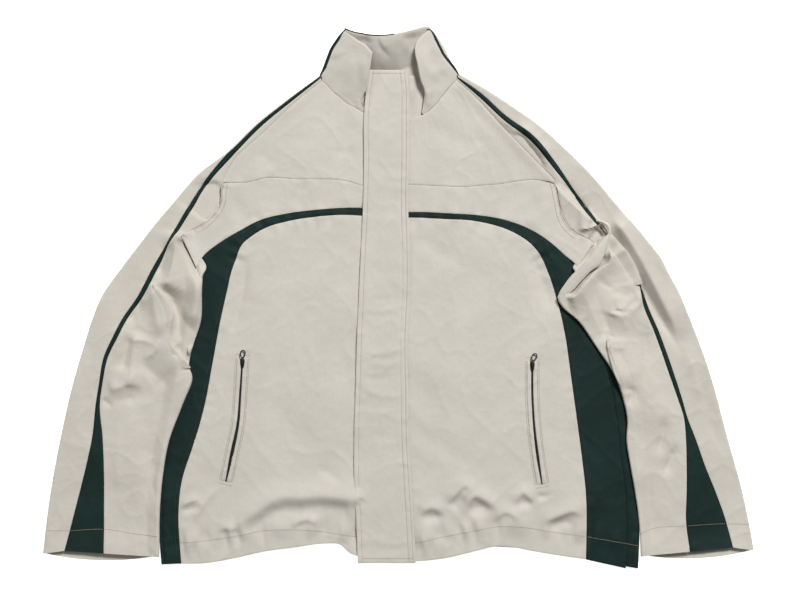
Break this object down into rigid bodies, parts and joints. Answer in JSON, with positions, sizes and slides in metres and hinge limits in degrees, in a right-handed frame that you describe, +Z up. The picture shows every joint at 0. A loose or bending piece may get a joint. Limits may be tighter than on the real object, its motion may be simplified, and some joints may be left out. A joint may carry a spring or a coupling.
{
  "type": "track jacket",
  "caption": "Lined woven track jacket with stand collar, storm flap, zipped welt pockets and contrast side panels and sleeve stripes, lying flat front up.",
  "frame": {"origin": "centre of the outline's box on the floor plane that the back lies on", "axes": "+X to the right across the front as it is seen, +Y from the hem to the collar, +Z up out of the front"},
  "size_m": [1.032, 0.7857, 0.0237],
  "materials": {
    "stone_shell": "soft matte plain weave, lightly crinkled",
    "green_shell": "dark green plain weave with a low sheen",
    "zip_black": "matte black zip tape and coil",
    "zip_metal": "black painted, semi-gloss"
  },
  "bodies": {
    "jacket": {"back": "stone_shell", "storm_flap": "stone_shell", "collar_back": "stone_shell", "collar_front": "stone_shell", "yoke_left": "stone_shell", "chest_left": "stone_shell", "front_left": "stone_shell", "sleeve_front_left": "stone_shell", "sleeve_back_left": "stone_shell", "collar_left": "stone_shell", "pocket_lip_inner_left": "stone_shell", "pocket_lip_outer_left": "stone_shell", "yoke_right": "stone_shell", "chest_right": "stone_shell", "front_right": "stone_shell", "sleeve_front_right": "stone_shell", "sleeve_back_right": "stone_shell", "collar_right": "stone_shell", "pocket_lip_inner_right": "stone_shell", "pocket_lip_outer_right": "stone_shell", "side_panel_left": "green_shell", "side_back_left": "green_shell", "sleeve_stripe_left": "green_shell", "collar_stripe_left": "green_shell", "side_panel_right": "green_shell", "side_back_right": "green_shell", "sleeve_stripe_right": "green_shell", "collar_stripe_right": "green_shell", "front_zip": "zip_black", "pocket_zip_left": "zip_black", "pocket_zip_right": "zip_black", "slider_left": "zip_metal", "slider_right": "zip_metal"},
    "pull_left": {"pull_left": "zip_metal"},
    "pull_right": {"pull_right": "zip_metal"}
  },
  "joints": [
    {"name": "pull_left_swing", "type": "hinge", "parent": "jacket", "child": "pull_left", "pos_m": [-0.226, -0.0867, 0.01318], "axis": [0.9903, -0.1392, 0], "range_deg": [0, 150]},
    {"name": "pull_right_swing", "type": "hinge", "parent": "jacket", "child": "pull_right", "pos_m": [0.194, -0.0907, 0.01354], "axis": [0.8829, -0.4695, 0], "range_deg": [0, 150]}
  ]
}
